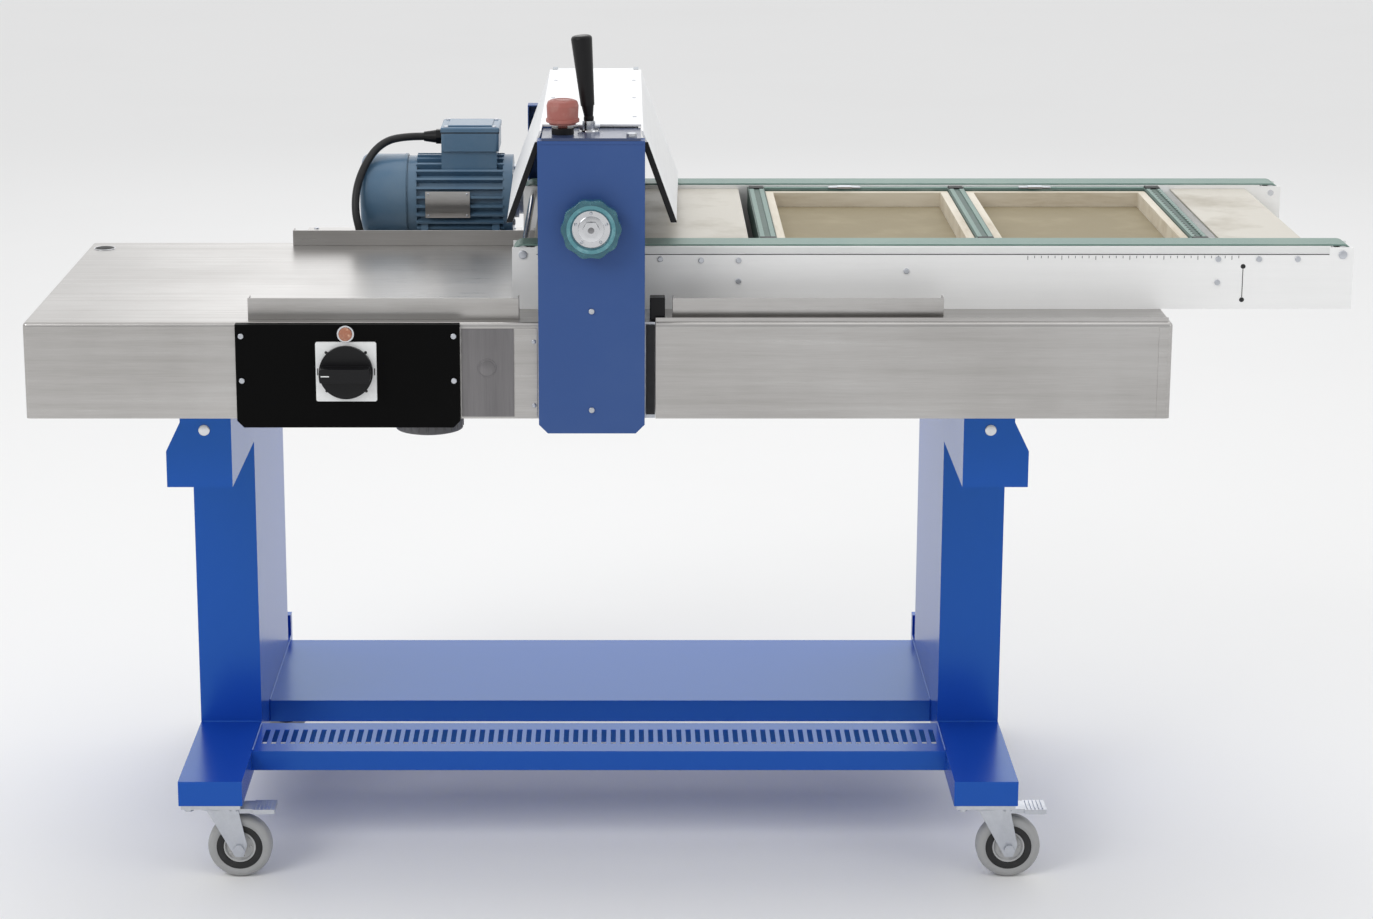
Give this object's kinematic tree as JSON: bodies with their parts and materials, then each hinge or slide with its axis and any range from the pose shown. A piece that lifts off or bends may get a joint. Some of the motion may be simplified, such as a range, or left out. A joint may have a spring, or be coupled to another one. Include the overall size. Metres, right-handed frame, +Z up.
{
  "type": "roller head belt machine",
  "caption": "Through-feed roller machine: stainless base on a wheeled blue stand, bridge head with guard hood, rear gearmotor and a two-belt bed with lift-out trays.",
  "frame": {"origin": "centre of the overall footprint, on the floor under the castor wheels", "axes": "+X along the machine from the plain table towards the belt bed, +Y from the operator's side to the motor side, +Z up"},
  "size_m": [1.943, 0.9416, 1.3394],
  "materials": {
    "stand_blue": "gloss powder coat",
    "head_blue": "satin paint",
    "motor_blue": "satin machine enamel",
    "stainless": "brushed stainless sheet",
    "black_panel": "matt black coat",
    "zinc_steel": "zinc plated",
    "polished_steel": "ground and polished",
    "aluminium": "anodised",
    "belt_green": "woven-faced belt",
    "tray_wood": "sealed birch",
    "plate_beige": "satin coat",
    "black_plastic": "moulded",
    "white_plastic": "moulded",
    "stop_red": "moulded, sun-faded",
    "lamp_red": "clear tinted",
    "wheel_teal": "translucent moulded",
    "castor_grey": "grey thermoplastic rubber",
    "gearbox_metal": "cast",
    "gear_steel": "oiled",
    "cable_black": "PVC sheath",
    "frame_teal": "green-topped strip"
  },
  "bodies": {
    "machine": {"leg_frame_left": "stand_blue", "leg_frame_right": "stand_blue", "lower_shelf": "stand_blue", "slotted_crossbar": "stand_blue", "hex_bolts": "zinc_steel", "caster_plates": "zinc_steel", "base_cover_left": "stainless", "base_cover_right": "stainless", "base_chassis": "zinc_steel", "electrics_panel": "black_panel", "main_switch_plate": "white_plastic", "indicator_lamp": "lamp_red", "fences": "stainless", "motor_deck": "stainless", "cooling_fan": "black_plastic", "pan_screws": "zinc_steel", "head_cover": "head_blue", "head_frame": "zinc_steel", "gear_guard": "head_blue", "top_plate": "head_blue", "lever_base": "polished_steel", "emergency_stop_collar": "black_plastic", "motor_housing": "motor_blue", "fan_cowl": "motor_blue", "terminal_box": "motor_blue", "terminal_box_lid": "motor_blue", "cable_gland": "black_plastic", "motor_cable": "cable_black", "gearbox_housing": "gearbox_metal", "bed_rails": "aluminium", "bed_belts": "belt_green", "bed_plates": "plate_beige", "tray_frame": "frame_teal"},
    "swivel_front_left": {"caster_fork_front_left": "zinc_steel"},
    "swivel_front_right": {"caster_fork_front_right": "zinc_steel"},
    "swivel_rear_left": {"caster_fork_rear_left": "zinc_steel"},
    "swivel_rear_right": {"caster_fork_rear_right": "zinc_steel"},
    "wheel_front_left": {"caster_wheel_front_left": "castor_grey"},
    "wheel_front_right": {"caster_wheel_front_right": "castor_grey"},
    "wheel_rear_left": {"caster_wheel_rear_left": "castor_grey"},
    "wheel_rear_right": {"caster_wheel_rear_right": "castor_grey"},
    "pedal_left": {"brake_pedal_left": "zinc_steel"},
    "pedal_right": {"brake_pedal_right": "zinc_steel"},
    "switch_knob": {"main_switch_knob": "black_plastic"},
    "stop_button": {"emergency_stop_button": "stop_red"},
    "lever": {"feed_lever": "black_plastic"},
    "handwheel": {"handwheel_rim": "wheel_teal", "handwheel_hub": "polished_steel"},
    "roller_slides": {"bearing_slides": "gear_steel"},
    "upper_roller": {"upper_roller": "polished_steel", "upper_gear": "gear_steel"},
    "lower_roller": {"lower_roller": "polished_steel", "lower_gear": "gear_steel"},
    "pinion": {"pinion_shaft": "gear_steel"},
    "rotor": {"motor_rotor": "gear_steel"},
    "drive_pulleys": {"drive_pulleys": "polished_steel"},
    "tail_pulleys": {"tail_pulleys": "polished_steel"},
    "hood": {"guard_hood": "stainless"},
    "tray_left": {"tray_left": "tray_wood"},
    "tray_right": {"tray_right": "tray_wood"}
  },
  "joints": [
    {"name": "swivel_turn_front_left", "type": "hinge", "parent": "machine", "child": "swivel_front_left", "pos_m": [-0.742, -0.22925, 0.128], "axis": [0, 0, 1], "continuous": true},
    {"name": "wheel_spin_front_left", "type": "hinge", "parent": "swivel_front_left", "child": "wheel_front_left", "pos_m": [-0.702, -0.22925, 0.05], "axis": [0, 1, 0], "continuous": true},
    {"name": "swivel_turn_front_right", "type": "hinge", "parent": "machine", "child": "swivel_front_right", "pos_m": [0.46, -0.22925, 0.128], "axis": [0, 0, 1], "continuous": true},
    {"name": "wheel_spin_front_right", "type": "hinge", "parent": "swivel_front_right", "child": "wheel_front_right", "pos_m": [0.5, -0.22925, 0.05], "axis": [0, 1, 0], "continuous": true},
    {"name": "swivel_turn_rear_left", "type": "hinge", "parent": "machine", "child": "swivel_rear_left", "pos_m": [-0.742, 0.43275, 0.128], "axis": [0, 0, 1], "continuous": true},
    {"name": "wheel_spin_rear_left", "type": "hinge", "parent": "swivel_rear_left", "child": "wheel_rear_left", "pos_m": [-0.702, 0.43275, 0.05], "axis": [0, 1, 0], "continuous": true},
    {"name": "swivel_turn_rear_right", "type": "hinge", "parent": "machine", "child": "swivel_rear_right", "pos_m": [0.46, 0.43275, 0.128], "axis": [0, 0, 1], "continuous": true},
    {"name": "wheel_spin_rear_right", "type": "hinge", "parent": "swivel_rear_right", "child": "wheel_rear_right", "pos_m": [0.5, 0.43275, 0.05], "axis": [0, 1, 0], "continuous": true},
    {"name": "brake_press_left", "type": "hinge", "parent": "swivel_front_left", "child": "pedal_left", "pos_m": [-0.711, -0.22925, 0.1117], "axis": [0, 1, 0], "range_deg": [0, 11]},
    {"name": "brake_press_right", "type": "hinge", "parent": "swivel_front_right", "child": "pedal_right", "pos_m": [0.491, -0.22925, 0.1117], "axis": [0, 1, 0], "range_deg": [0, 11]},
    {"name": "main_switch_turn", "type": "hinge", "parent": "machine", "child": "switch_knob", "pos_m": [-0.5025, -0.40725, 0.858], "axis": [0, 1, 0], "range_deg": [0, 90]},
    {"name": "emergency_stop_press", "type": "slide", "parent": "machine", "child": "stop_button", "axis": [0, 0, -1], "range_m": [0, 0.004], "stiffness_N_per_m": 800, "springref_m": -0.004},
    {"name": "lever_tilt", "type": "hinge", "parent": "machine", "child": "lever", "pos_m": [-0.1515, -0.36725, 1.219], "axis": [0, 1, 0], "range_deg": [-15, 25]},
    {"name": "handwheel_turn", "type": "hinge", "parent": "machine", "child": "handwheel", "pos_m": [-0.1475, -0.40725, 1.0745], "axis": [0, -1, 0], "range_deg": [0, 270]},
    {"name": "roller_lift", "type": "slide", "parent": "machine", "child": "roller_slides", "axis": [0, 0, 1], "range_m": [0, 0.006]},
    {"name": "upper_roller_spin", "type": "hinge", "parent": "roller_slides", "child": "upper_roller", "pos_m": [-0.1475, -0.31425, 1.0745], "axis": [0, 1, 0], "continuous": true},
    {"name": "lower_roller_spin", "type": "hinge", "parent": "machine", "child": "lower_roller", "pos_m": [-0.1475, -0.31425, 0.9785], "axis": [0, 1, 0], "continuous": true},
    {"name": "pinion_spin", "type": "hinge", "parent": "machine", "child": "pinion", "pos_m": [-0.21589, 0.33875, 0.941], "axis": [0, 1, 0], "continuous": true},
    {"name": "motor_spin", "type": "hinge", "parent": "machine", "child": "rotor", "pos_m": [-0.3475, 0.33875, 0.981], "axis": [1, 0, 0], "continuous": true},
    {"name": "drive_pulley_spin", "type": "hinge", "parent": "machine", "child": "drive_pulleys", "pos_m": [-0.2495, -0.31425, 1.0085], "axis": [0, 1, 0], "continuous": true},
    {"name": "tail_pulley_spin", "type": "hinge", "parent": "machine", "child": "tail_pulleys", "pos_m": [0.9555, -0.31425, 1.0085], "axis": [0, 1, 0], "continuous": true},
    {"name": "hood_hinge", "type": "hinge", "parent": "machine", "child": "hood", "pos_m": [-0.1475, 0.25275, 1.199], "axis": [-1, 0, 0], "range_deg": [0, 70]},
    {"name": "tray_lift_left", "type": "slide", "parent": "machine", "child": "tray_left", "axis": [0, 0, 1], "range_m": [0, 0.08]},
    {"name": "tray_lift_right", "type": "slide", "parent": "machine", "child": "tray_right", "axis": [0, 0, 1], "range_m": [0, 0.08]}
  ],
  "couplings": [
    {"joint": "handwheel_turn", "follows": "roller_lift", "rad_per_m": 785.39},
    {"joint": "pinion_spin", "follows": "motor_spin", "ratio": 0.033333},
    {"joint": "lower_roller_spin", "follows": "motor_spin", "ratio": -0.020833},
    {"joint": "upper_roller_spin", "follows": "motor_spin", "ratio": 0.020833},
    {"joint": "drive_pulley_spin", "follows": "motor_spin", "ratio": -0.0625},
    {"joint": "tail_pulley_spin", "follows": "motor_spin", "ratio": -0.0625}
  ]
}
